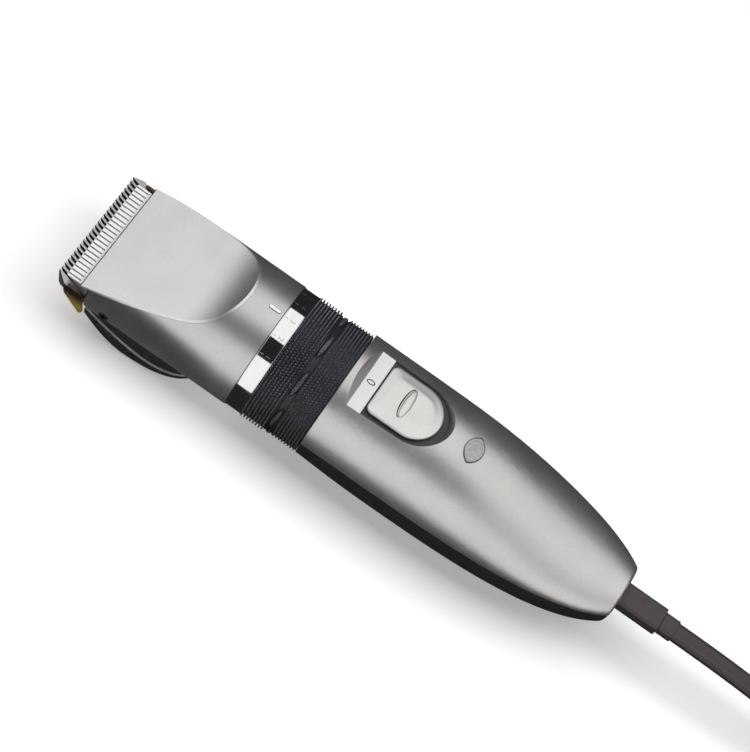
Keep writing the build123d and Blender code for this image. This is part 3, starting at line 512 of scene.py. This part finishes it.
FINISHES = {
    "silver_paint": paint("silver_paint", (0.6, 0.585, 0.57), 0.37).steepen(0.7, 13, 18, 54),
    "face_silver": paint("face_silver", (0.76, 0.755, 0.755), 0.36),
    "dark_gloss": plastic("dark_gloss", (0.03, 0.032, 0.033), 0.22, relief=0.001),
    "lower_grey": plastic("lower_grey", (0.022, 0.022, 0.024), 0.34),
    "white_pip": plastic("white_pip", (0.8, 0.8, 0.78), 0.4),
    "blade_steel": metal("blade_steel", (0.62, 0.61, 0.6), 0.3, (1, 0.08, 1)),
    "gold_coat": plated("gold_coat", (0.6, 0.42, 0.08), (0.05, 0.032, 0.018)),
    "ceramic": ceramic("ceramic", (0.95, 0.945, 0.93)),
    "black_plastic": plastic("black_plastic", (0.03, 0.03, 0.033), 0.5),
    "zinc_steel": metal("zinc_steel", (0.58, 0.58, 0.56), 0.35),
    "spring_steel": metal("spring_steel", (0.5, 0.5, 0.5), 0.25),
    "chrome": chrome("chrome", (0.86, 0.86, 0.87)),
    # the grip rubber's lighter crest colour is a painted highlight
    "grip_rubber": rubber_with_painted_crest_light("grip_rubber", (0.014, 0.015, 0.02), (0.13, 0.135, 0.16)),
    "slider_silver": paint("slider_silver", (0.67, 0.66, 0.64), 0.34, 0.7),
    "lens": smoked_lens("lens", (0.3, 0.3, 0.295)),
    "motor_steel": metal("motor_steel", (0.52, 0.52, 0.53), 0.34, (1, 0.08, 0.08)),
    "magnet": plastic("magnet", (0.08, 0.08, 0.08), 0.55),
    "brass": metal("brass", (0.72, 0.54, 0.24), 0.25, (1, 0.08, 0.08)),
    "copper_winding": winding("copper_winding", (0.62, 0.28, 0.13)),
    "board": board("board", (0.03, 0.16, 0.07)),
    "cell_wrap": plastic("cell_wrap", (0.05, 0.26, 0.09), 0.25, 1.2, 0.004),
    "led_clear": plastic("led_clear", (0.55, 0.06, 0.05), 0.12, 1.0, 0.002),
    "wire_red": plastic("wire_red", (0.45, 0.03, 0.025), 0.4),
    "lead_boot": plastic("lead_boot", (0.04, 0.03, 0.035), 0.45),
    "cord": plastic("cord", (0.034, 0.026, 0.03), 0.42, 0.5, 0.008),
    "adapter_case": plastic("adapter_case", (0.052, 0.046, 0.05), 0.5, 0.3, 0.012),
    "pin_steel": chrome("pin_steel", (0.72, 0.71, 0.69)),
}


def put_on(piece, slot):
    """Gives a piece one finish."""
    piece.data.materials.clear()
    piece.data.materials.append(FINISHES[slot].material)


def finish_nodes():
    """Gives every CAD node the finish of its slot in the record."""
    for part in frame["record"]["subparts"]:
        put_on(nodes[part["node"]], part["material_slot"])


# ---------------------------------------------------------------- making pieces

WELD, COPLANAR = 0.002, 0.6  # millimetres and degrees within which a CAD mesh is joined up
COMB_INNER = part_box("fixed_blade")[1].y - 1.9 * MM  # the comb's end teeth lie outside this
# limits on faces' normals: a slot's walls face across, and the jaw cover's ledge faces half upwards
WALL_ACROSS, LEDGE_ACROSS, LEDGE_UP = 0.8, 0.35, (0.45, 0.9)


def add_piece(name, mesh, body, slot, replaced=()):
    """Adds a smooth mesh with one finish, which rides a body and may stand for CAD nodes."""
    piece = bpy.data.objects.new(name, mesh)
    bpy.context.scene.collection.objects.link(piece)
    for face in mesh.polygons:
        face.use_smooth = True
    put_on(piece, slot)
    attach(piece, body)
    if replaced:
        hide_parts(*replaced)
    return piece


def grid_mesh(name, rows, closed_across=False, closed_along=False):
    """Mesh over rows of points, which join round when closed."""
    mesh = bpy.data.meshes.new(name)
    count, width = len(rows), len(rows[0])
    faces = []
    for row in range(count if closed_along else count - 1):
        after = (row + 1) % count
        for column in range(width if closed_across else width - 1):
            beside = (column + 1) % width
            faces.append((row * width + column, row * width + beside,
                          after * width + beside, after * width + column))
    mesh.from_pydata([point for row in rows for point in row], [], faces)
    return mesh


def close_ends(mesh):
    """Fills a mesh's open ends and turns its faces outwards."""
    shape = bmesh.new()
    shape.from_mesh(mesh)
    bmesh.ops.holes_fill(shape, edges=shape.edges, sides=0)
    bmesh.ops.recalc_face_normals(shape, faces=shape.faces)
    shape.to_mesh(mesh)
    shape.free()
    return mesh


def soften(piece, width, segments=2, angle=35):
    """Rounds a piece's edges by this many millimetres and keeps its faces flat."""
    bevel = piece.modifiers.new("edges", "BEVEL")
    bevel.width = width * MM
    bevel.segments = segments
    bevel.limit_method = "ANGLE"
    bevel.angle_limit = math.radians(angle)
    bevel.harden_normals = True
    flat = piece.modifiers.new("flat_faces", "WEIGHTED_NORMAL")
    flat.keep_sharp = True


def refined(node, slot, width, segments=2, angle=35):
    """A copy of a CAD node, with flat faces joined up and edges rounded, which stands for it."""
    source = nodes[node]
    name = f"{node}_shaped"
    mesh = bpy.data.meshes.new(name)
    shape = bmesh.new()
    shape.from_mesh(source.data)
    bmesh.ops.remove_doubles(shape, verts=shape.verts, dist=WELD * MM)
    bmesh.ops.dissolve_limit(shape, angle_limit=math.radians(COPLANAR), verts=shape.verts,
                             edges=shape.edges)
    shape.to_mesh(mesh)
    shape.free()
    piece = add_piece(name, mesh, source["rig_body"], slot, (node,))
    soften(piece, width, segments, angle)
    return piece


def paint_shade_in_slots(piece):
    """Paints the walls between the comb's teeth black: painted shade in the gaps between the teeth.
    """
    piece.data.materials.append(FINISHES["black_plastic"].material)
    for face in piece.data.polygons:
        if abs(face.center.y) < COMB_INNER and abs(face.normal.y) > WALL_ACROSS:
            face.material_index = 1


def paint_highlight_on_ledge(piece):
    """Paints the narrow ledge along the jaw cover's sides a lighter grey: a painted highlight line.
    """
    piece.data.materials.append(FINISHES["lens"].material)
    low, high = LEDGE_UP
    for face in piece.data.polygons:
        if low < face.normal.z < high and abs(face.normal.y) > LEDGE_ACROSS:
            face.material_index = 1


# ---------------------------------------------------------------- ribbed grip

GRIP_FRONT, GRIP_REAR = 65.75, 84.45
FRONT_RIBS_END, REAR_RIBS_FROM = 73.4, 76.5
GRIP_R, REAR_R, BORE_R = 20.4, 20.0, 18.6  # front ribs' crests, rear ribs' crests, inside
RIBS = 8  # in front of the middle groove and again behind it, one to a millimetre
# place along a rib, share of its height
RIB_PROFILE = ((0.0, 0.0), (0.08, 0.8), (0.2, 1.0), (0.42, 0.85), (0.56, 0.0), (0.78, -0.15))
NICKS, COLUMNS_PER_NICK = 140, 5
NICK_RISE = (0.0, 0.1, 0.9, 1.0, 0.9)  # height of a rib's crest from one nick to the next
GROOVE_FROM, GROOVE_L = FRONT_RIBS_END + 0.2, REAR_RIBS_FROM - FRONT_RIBS_END - 0.3
GROOVE_STEPS = 12
GROOVE_R, GROOVE_SWELL, WALL_H = ROOT_R - 0.55, 0.2, 0.75
WALL_POWER, WALL_WANDER = 3, 1.2  # how steep the groove's walls are, and how that wanders
PADS, PAD_HALF_L, PAD_HALF_W = 9, 4.6, 0.95  # flat pads along the middle groove
PAD_STEPS_L, PAD_STEPS_W = 20, 8
PAD_MIDDLE = (FRONT_RIBS_END + REAR_RIBS_FROM) / 2
PAD_R, PAD_LIFT, PAD_TILT = ROOT_R - 0.45, 0.95, 0.35  # edges' radius, rise of the middle


def round_point(distance, radius, angle):
    """Point at this distance back and radius, its angle measured from the top towards +Y."""
    y, z = radius * MM * math.sin(angle), radius * MM * math.cos(angle)
    return (back(distance), y, AXIS_Z + z)


def ring_row(distance, radius_at, count=NICKS * COLUMNS_PER_NICK):
    """Points round the handle at one distance back, with the radius that each column has."""
    return [round_point(distance, radius_at(index), 2 * math.pi * index / count)
            for index in range(count)]


def rib_row(distance, crest, rise, shift):
    """One row of a rib, which is cut through at every nick."""

    def radius_at(index):
        return ROOT_R + (crest - ROOT_R) * rise * NICK_RISE[(index + shift) % COLUMNS_PER_NICK]

    return ring_row(distance, radius_at)


def groove_row(distance, share):
    """One row across the middle groove, which is deepest and widest between the pads."""

    def radius_at(index):
        wave = math.cos(2 * math.pi * PADS * index / (NICKS * COLUMNS_PER_NICK))
        wall = abs(2 * share - 1) ** (WALL_POWER - WALL_WANDER * wave)
        return GROOVE_R + GROOVE_SWELL * (0.5 + 0.5 * wave) + WALL_H * wall

    return ring_row(distance, radius_at)


def add_pads():
    """Smooth raised pads along the groove, lens-shaped and slightly tilted."""
    for pad in range(PADS):
        name = f"grip_pad_{pad + 1}"
        middle = 2 * math.pi * pad / PADS
        rows = []
        for step in range(PAD_STEPS_L + 1):
            along = 2 * step / PAD_STEPS_L - 1
            width = PAD_HALF_W * max(0.0, 1 - abs(along) ** 2.6) ** 0.7
            row = []
            for column in range(PAD_STEPS_W + 1):
                across = 2 * column / PAD_STEPS_W - 1
                lift = PAD_LIFT * (1 - abs(across) ** 4) * min(1.0, width / PAD_HALF_W * 1.6)
                distance = PAD_MIDDLE + width * across + PAD_TILT * along
                angle = middle + along * PAD_HALF_L / ROOT_R
                row.append(round_point(distance, PAD_R + lift, angle))
            rows.append(row)
        add_piece(name, grid_mesh(name, rows), "adjusting_ring", "grip_rubber")


def rib_rows(first, crest):
    """Rows over the ribs from this distance back, whose nicks are staggered."""
    return [rib_row(first + rib + step, crest, rise, 2 * (rib % 2))
            for rib in range(RIBS) for step, rise in RIB_PROFILE]


def add_grip():
    """The sleeve with its ribs, the groove between them and the pads along the groove."""
    rows = rib_rows(GRIP_FRONT, GRIP_R)
    for step in range(GROOVE_STEPS + 1):
        share = step / GROOVE_STEPS
        rows.append(groove_row(GROOVE_FROM + GROOVE_L * share, share))
    rows += rib_rows(REAR_RIBS_FROM, REAR_R)
    last = back(GRIP_REAR - 0.02)  # the rear rib is cut off at the sleeve's edge
    rows = [row for row in rows if row[0][0] < last]
    for place, radius in ((GRIP_REAR, ROOT_R), (GRIP_REAR, BORE_R), (GRIP_FRONT, BORE_R)):
        rows.append(ring_row(place, lambda index: radius))
    mesh = grid_mesh("grip_ribs", rows, closed_across=True, closed_along=True)
    add_piece("grip_ribs", mesh, "adjusting_ring", "grip_rubber", ("grip_sleeve",))
    add_pads()


# ---------------------------------------------------------------- scale band

BAND_L, BAND_R, LIP = 5.2, 20.05, 0.28
BAND_COLUMNS, LIP_STEPS = 180, 6
NUMERALS, NUMERAL_STEP, NUMERAL_SIZE = 5, 18, 2.24  # degrees between them, size of the font
TICK_L, TICK_W, TICK_T = 1.1, 0.16, 0.012
NUMERAL_AT, TICK_AT = BAND_AT + 3.1, BAND_AT + 1.1


def add_band():
    """Plated band with a rolled lip along each edge."""
    profile = [(BAND_AT + BAND_L, BORE_R), (BAND_AT, BORE_R)]
    for edge, turn in ((BAND_AT, 0), (BAND_AT + BAND_L, 1)):
        for step in range(LIP_STEPS + 1):
            angle = math.pi * step / LIP_STEPS
            profile.append((edge + LIP / 2 * (1 - math.cos(angle)) - turn * LIP,
                            BAND_R - LIP / 2 * (1 - math.sin(angle))))
    rows = [ring_row(distance, lambda index: radius, BAND_COLUMNS) for distance, radius in profile]
    mesh = grid_mesh("plated_band", rows, closed_across=True, closed_along=True)
    piece = add_piece("plated_band", mesh, "adjusting_ring", "chrome", ("scale_band",))
    edges = piece.modifiers.new("corners", "EDGE_SPLIT")
    edges.split_angle = math.radians(50)


def add_on_band(name, flat, angle, distance):
    """Bends a flat mark, drawn in millimetres in XY, round the band at this angle from the top."""
    points = []
    for x, y, z in (corner.co for corner in flat.vertices):
        turn = math.radians(angle) - x / BAND_R
        points.append(round_point(distance + y, BAND_R - LIP / 2 + z, turn))
    mesh = bpy.data.meshes.new(name)
    mesh.from_pydata(points, [], [tuple(face.vertices) for face in flat.polygons])
    bpy.data.meshes.remove(flat)
    add_piece(name, mesh, "adjusting_ring", "motor_steel")


def numeral_mesh(text):
    """Flat numeral with its middle at the origin, read from the handle's front."""
    curve = bpy.data.curves.new(f"numeral_{text}", "FONT")
    curve.body, curve.size = text, NUMERAL_SIZE
    curve.align_x, curve.align_y = "CENTER", "CENTER"
    curve.extrude = TICK_T
    drawn = bpy.data.objects.new(f"numeral_{text}", curve)
    bpy.context.scene.collection.objects.link(drawn)
    bpy.context.view_layer.update()
    evaluated = drawn.evaluated_get(bpy.context.evaluated_depsgraph_get())
    mesh = bpy.data.meshes.new_from_object(evaluated)
    bpy.data.objects.remove(drawn)
    bpy.data.curves.remove(curve)
    return mesh


def add_scale():
    """Numerals and ticks on the band, one step of the ring apart."""
    for number in range(NUMERALS):
        angle = (number - (NUMERALS - 1) / 2) * NUMERAL_STEP
        numeral = numeral_mesh(str(number + 1))
        add_on_band(f"numeral_{number + 1}", numeral, angle, NUMERAL_AT)
        tick = bpy.data.meshes.new("flat_tick")
        shape = bmesh.new()
        scale = Matrix.Diagonal((TICK_W, TICK_L, 2 * TICK_T, 1))
        bmesh.ops.create_cube(shape, size=1.0, matrix=scale)
        bmesh.ops.bevel(shape, geom=shape.edges[:], offset=TICK_T / 2, segments=1, affect="EDGES")
        shape.to_mesh(tick)
        shape.free()
        add_on_band(f"tick_{number + 1}", tick, angle, TICK_AT)


# ---------------------------------------------------------------- switch slider

SLIDER_FRONT, SLIDER_BEND, SLIDER_REAR, SLIDER_HALF = 93.9, 105.5, 114.1, 8.7
CORNER_STEPS, SIDE_STEPS, REAR_STEPS = 6, 5, 12  # along half of the slider's outline
PLATE_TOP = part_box("switch_plate")[1].z
# inset at the sides and rear, inset at the front, corner radius, height above the plate
SLIDER_LEVELS = (
    (0.0, 0.0, 2.0, 0.06),
    (0.0, 0.0, 2.0, 0.75),
    (0.05, 0.05, 1.98, 0.9),
    (0.18, 0.16, 1.95, 1.02),
    (0.4, 0.35, 1.9, 1.1),
    (1.0, 0.8, 1.9, 1.22),
    (1.7, 1.4, 2.0, 1.38),
    (2.3, 2.0, 2.1, 1.52),
    (2.8, 2.5, 2.2, 1.66),
    (3.2, 2.9, 2.2, 1.74),
    (3.7, 3.4, 2.1, 1.78),
    (4.6, 4.4, 1.8, 1.79),
    (6.0, 6.0, 1.4, 1.77),
    (7.4, 7.8, 0.8, 1.75),
    (8.3, 8.8, 0.3, 1.75),
)
RIDGE_AT, RIDGE_HALF_L, RIDGE_HALF_W = 102.9, 5.25, 1.4
RIDGE_FOOT, RIDGE_RISE = 1.65, 0.8  # above the plate, above the foot
RIDGE_STEPS_L, RIDGE_STEPS_W = 16, 8  # from the ridge's middle to its end and to its side
# a dark oval line under the ridge, set a little towards the front, paints the ridge's shadow
RIDGE_SHADOW_AT, RIDGE_SHADOW_FOOT, RIDGE_SHADOW_HALF_L = RIDGE_AT - 0.36, 1.7, RIDGE_HALF_L - 0.15
RIDGE_SHADOW_LINE, RIDGE_SHADOW_H = 0.5, 0.13


def slider_outline(inset, front_inset, corner):
    """Points round the slider's outline, drawn in by these many millimetres."""
    front, half = SLIDER_FRONT + front_inset, SLIDER_HALF - inset
    reach = SLIDER_REAR - inset - SLIDER_BEND
    points = []
    for side in (1, -1):
        quarter = []
        for step in range(CORNER_STEPS + 1):
            angle = math.pi / 2 * step / CORNER_STEPS
            x = front + corner - corner * math.cos(angle)
            quarter.append((x, side * (half - corner + corner * math.sin(angle))))
        for step in range(1, SIDE_STEPS):
            share = step / SIDE_STEPS
            quarter.append((front + corner + (SLIDER_BEND - front - corner) * share, side * half))
        for step in range(REAR_STEPS + 1):
            angle = math.pi / 2 * step / REAR_STEPS
            quarter.append((SLIDER_BEND + reach * math.sin(angle), side * half * math.cos(angle)))
        points += quarter if side == 1 else quarter[-2::-1]
    return [(back(x), y * MM) for x, y in points]


def add_slider():
    """The slider's cap with its raised middle, and the ridge on it."""
    rows = [[(x, y, PLATE_TOP + height * MM) for x, y in slider_outline(inset, front, corner)]
            for inset, front, corner, height in SLIDER_LEVELS]
    mesh = close_ends(grid_mesh("slider_cap", rows, closed_across=True))
    add_piece("slider_cap", mesh, "switch", "slider_silver", ("switch_slider",))
    add_slider_ridge()


def add_slider_ridge():
    """Oval ridge across the slider for the thumb, and a dark oval line round its foot, set towards
    the front, that paints the ridge's shadow.
    """
    rows = []
    for step in range(2 * RIDGE_STEPS_L + 1):
        end = math.sin(math.pi / 2 * (step / RIDGE_STEPS_L - 1))
        width = RIDGE_HALF_W * max(0.0, 1 - end**2) ** 0.5
        row = []
        for column in range(2 * RIDGE_STEPS_W + 1):
            share = math.sin(math.pi / 2 * (column / RIDGE_STEPS_W - 1))
            rise = RIDGE_RISE * (1 - share**2) ** 0.5 * (width / RIDGE_HALF_W) ** 0.7
            x, y = back(RIDGE_AT + share * width), end * RIDGE_HALF_L * MM
            row.append((x, y, PLATE_TOP + (RIDGE_FOOT + rise) * MM))
        rows.append(row)
    add_piece("slider_ridge", grid_mesh("slider_ridge", rows), "switch", "slider_silver")
    # painted shadow: a dark oval line under the ridge, shifted towards the front
    shadow_middle = (back(RIDGE_SHADOW_AT), 0, PLATE_TOP + RIDGE_SHADOW_FOOT * MM)
    oval_ring("ridge_shadow_line", shadow_middle, (RIDGE_HALF_W, RIDGE_SHADOW_HALF_L), RIDGE_SHADOW_LINE, RIDGE_SHADOW_H, "switch",
              "lower_grey")


# ---------------------------------------------------------------- lens

LENS_AT, LENS_HALF_L, LENS_HALF_W = 125.35, 2.85, 4.45
LENS_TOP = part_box("led_lens")[1].z
BODY_HALF_W, BODY_HALF_H = 20.2, 17.6  # of the handle's oval section at the lens
BODY_FALL = 0.06  # slope of the handle's top at the lens, down towards the tail
ALMOND_STEPS = 24  # on each side
# share of the lens's outline, height above the handle's surface
LENS_RINGS = ((0.99, -0.5), (0.985, 0.02), (0.93, 0.12), (0.86, 0.14), (0.8, 0.1), (0.74, 0.12),
              (0.6, 0.2), (0.45, 0.25), (0.38, 0.2), (0.32, 0.24), (0.18, 0.28), (0.04, 0.29))
# thin black ring round the lens, painted shade of the gap round it
LENS_GAP_SHADE_RINGS = ((0.985, -0.3), (0.99, 0.06), (1.03, 0.08), (1.05, -0.3))


def body_top(y):
    """Height of the handle's surface over the lens, y millimetres from the middle."""
    return LENS_TOP - (1 - math.sqrt(1 - (y / BODY_HALF_W) ** 2)) * BODY_HALF_H * MM


def almond_row(scale, lift):
    """Points round an almond with its points across the handle, lifted off the handle's surface."""
    arc = (LENS_HALF_L**2 + LENS_HALF_W**2) / (2 * LENS_HALF_L)
    reach = math.asin(LENS_HALF_W / arc)
    row = []
    for side in (1, -1):
        for step in range(ALMOND_STEPS):
            angle = reach * (1 - 2 * step / ALMOND_STEPS) * side
            x = (arc * math.cos(angle) - (arc - LENS_HALF_L)) * side * scale
            y = arc * math.sin(angle) * scale
            row.append((back(LENS_AT + x), y * MM, body_top(y) + (lift - x * BODY_FALL) * MM))
    return row


def almond_mesh(name, rings):
    """Mesh over almonds of these shares and heights."""
    rows = [almond_row(scale, lift) for scale, lift in rings]
    return grid_mesh(name, rows, closed_across=True)


def add_lens():
    """The lens with the rings moulded in it, and a thin black ring round it that paints the shade
    in the gap round the lens.
    """
    lens = close_ends(almond_mesh("lens_cap", LENS_RINGS))
    add_piece("lens_cap", lens, "handle", "lens", ("led_lens",))
    # black ring: painted shade of the gap round the lens
    add_piece("lens_gap_shade", almond_mesh("lens_gap_shade", LENS_GAP_SHADE_RINGS), "handle", "black_plastic")


# ---------------------------------------------------------------- small marks

OVAL_COLUMNS = 48
OFF_MARK_AT, OFF_MARK_HALF, OFF_MARK_LINE, OFF_MARK_H = 91.0, (1.2, 0.62), 0.34, 0.04
# the black strip that paints the shadow along the face panel's front edge, in millimetres
STRIP_AHEAD, STRIP_BEHIND = -0.22, 0.02  # from the panel's front edge
STRIP_BELOW, STRIP_ABOVE = -0.5, 0.03
STRIP_MARGIN = 0.3  # looked at for the panel's front edge, and left free at each side


def oval_ring(name, centre, half, line, height, body, slot):
    """Raised oval outline on a level face, with these half sizes along X and Y."""
    rows = []
    for grow, lift in ((-line / 2, 0.0), (-line / 3, 1.0), (line / 3, 1.0), (line / 2, 0.0)):
        row = []
        for index in range(OVAL_COLUMNS):
            angle = 2 * math.pi * index / OVAL_COLUMNS
            x = centre[0] + (half[0] + grow) * MM * math.cos(angle)
            y = centre[1] + (half[1] + grow) * MM * math.sin(angle)
            row.append((x, y, centre[2] + height * MM * lift))
        rows.append(row)
    add_piece(name, grid_mesh(name, rows, closed_across=True), body, slot)


def add_panel_shadow_strip():
    """Thin black strip along the front edge of the face panel: painted shadow in the gap between
    the panel and the ceramic blade.
    """
    panel = nodes["face_panel"]
    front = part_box("face_panel")[0].x
    edge = [panel.matrix_world @ v.co for v in panel.data.vertices]
    edge = [v for v in edge if v.x < front + STRIP_MARGIN * MM]
    top, half = max(v.z for v in edge), max(v.y for v in edge) - STRIP_MARGIN * MM
    corners = ((STRIP_AHEAD, STRIP_BELOW), (STRIP_AHEAD, STRIP_ABOVE),
               (STRIP_BEHIND, STRIP_ABOVE), (STRIP_BEHIND, STRIP_BELOW))
    rows = [[(front + x * MM, side, top + z * MM) for x, z in corners]
            for side in (-half, 0.0, half)]
    mesh = grid_mesh("panel_shadow_strip", rows, closed_across=True)
    # painted shadow along the panel's front edge
    add_piece("panel_shadow_strip", mesh, "handle", "black_plastic")


def add_marks():
    """The painted shadow strip ahead of the face panel, and the oval that stands for the off
    position.
    """
    add_panel_shadow_strip()
    place = (back(OFF_MARK_AT), 0, PLATE_TOP)
    oval_ring("off_mark", place, OFF_MARK_HALF, OFF_MARK_LINE, OFF_MARK_H, "handle", "lower_grey")


# ---------------------------------------------------------------- assembly

finish_nodes()
put_on(cord, "cord")
add_stage()
add_grip()
add_band()
add_scale()
add_slider()
add_lens()
add_marks()
# the comb's gaps get painted shade
paint_shade_in_slots(refined("fixed_blade", "blade_steel", 0.08))
refined("ceramic_blade", "ceramic", 0.1)
refined("blade_holder", "gold_coat", 0.2, 3)
# the jaw cover's ledge gets a painted highlight line
paint_highlight_on_ledge(refined("jaw_cover", "dark_gloss", 0.12, 2, 30))
refined("plug_boot", "lead_boot", 0.3, 3)
refined("strain_relief", "lead_boot", 0.3, 3)
refined("hank_tie", "black_plastic", 0.25)
for name in ("upper_shell", "lower_shell", "head_shell", "face_panel", "switch_plate"):
    soften(nodes[name], 0.1, 2, 40)
